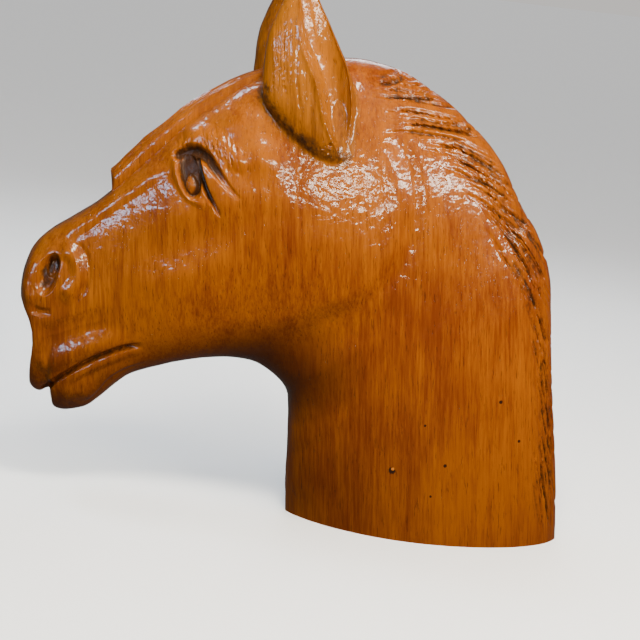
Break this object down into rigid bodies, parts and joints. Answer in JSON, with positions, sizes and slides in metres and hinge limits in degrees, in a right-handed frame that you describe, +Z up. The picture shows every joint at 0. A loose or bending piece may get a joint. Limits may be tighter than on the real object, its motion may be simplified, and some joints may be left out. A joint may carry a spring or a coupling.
{
  "type": "carved horse head bust",
  "caption": "Carved and varnished wooden horse head and neck with pricked ears, forelock and gouged mane, sawn flat under the neck so that it stands on a shelf.",
  "frame": {"origin": "middle of the flat sawn underside of the neck, on the surface that the bust stands on", "axes": "+Z up from the underside to the ear tips, the nose points towards -X, the horse's left side faces -Y"},
  "size_m": [0.2364, 0.0544, 0.2296],
  "materials": {
    "varnished_wood": "glossy amber varnish over fine-grained hardwood, dark patina in the gouges"
  },
  "bodies": {
    "root": {"horse_head": "varnished_wood"}
  },
  "joints": []
}
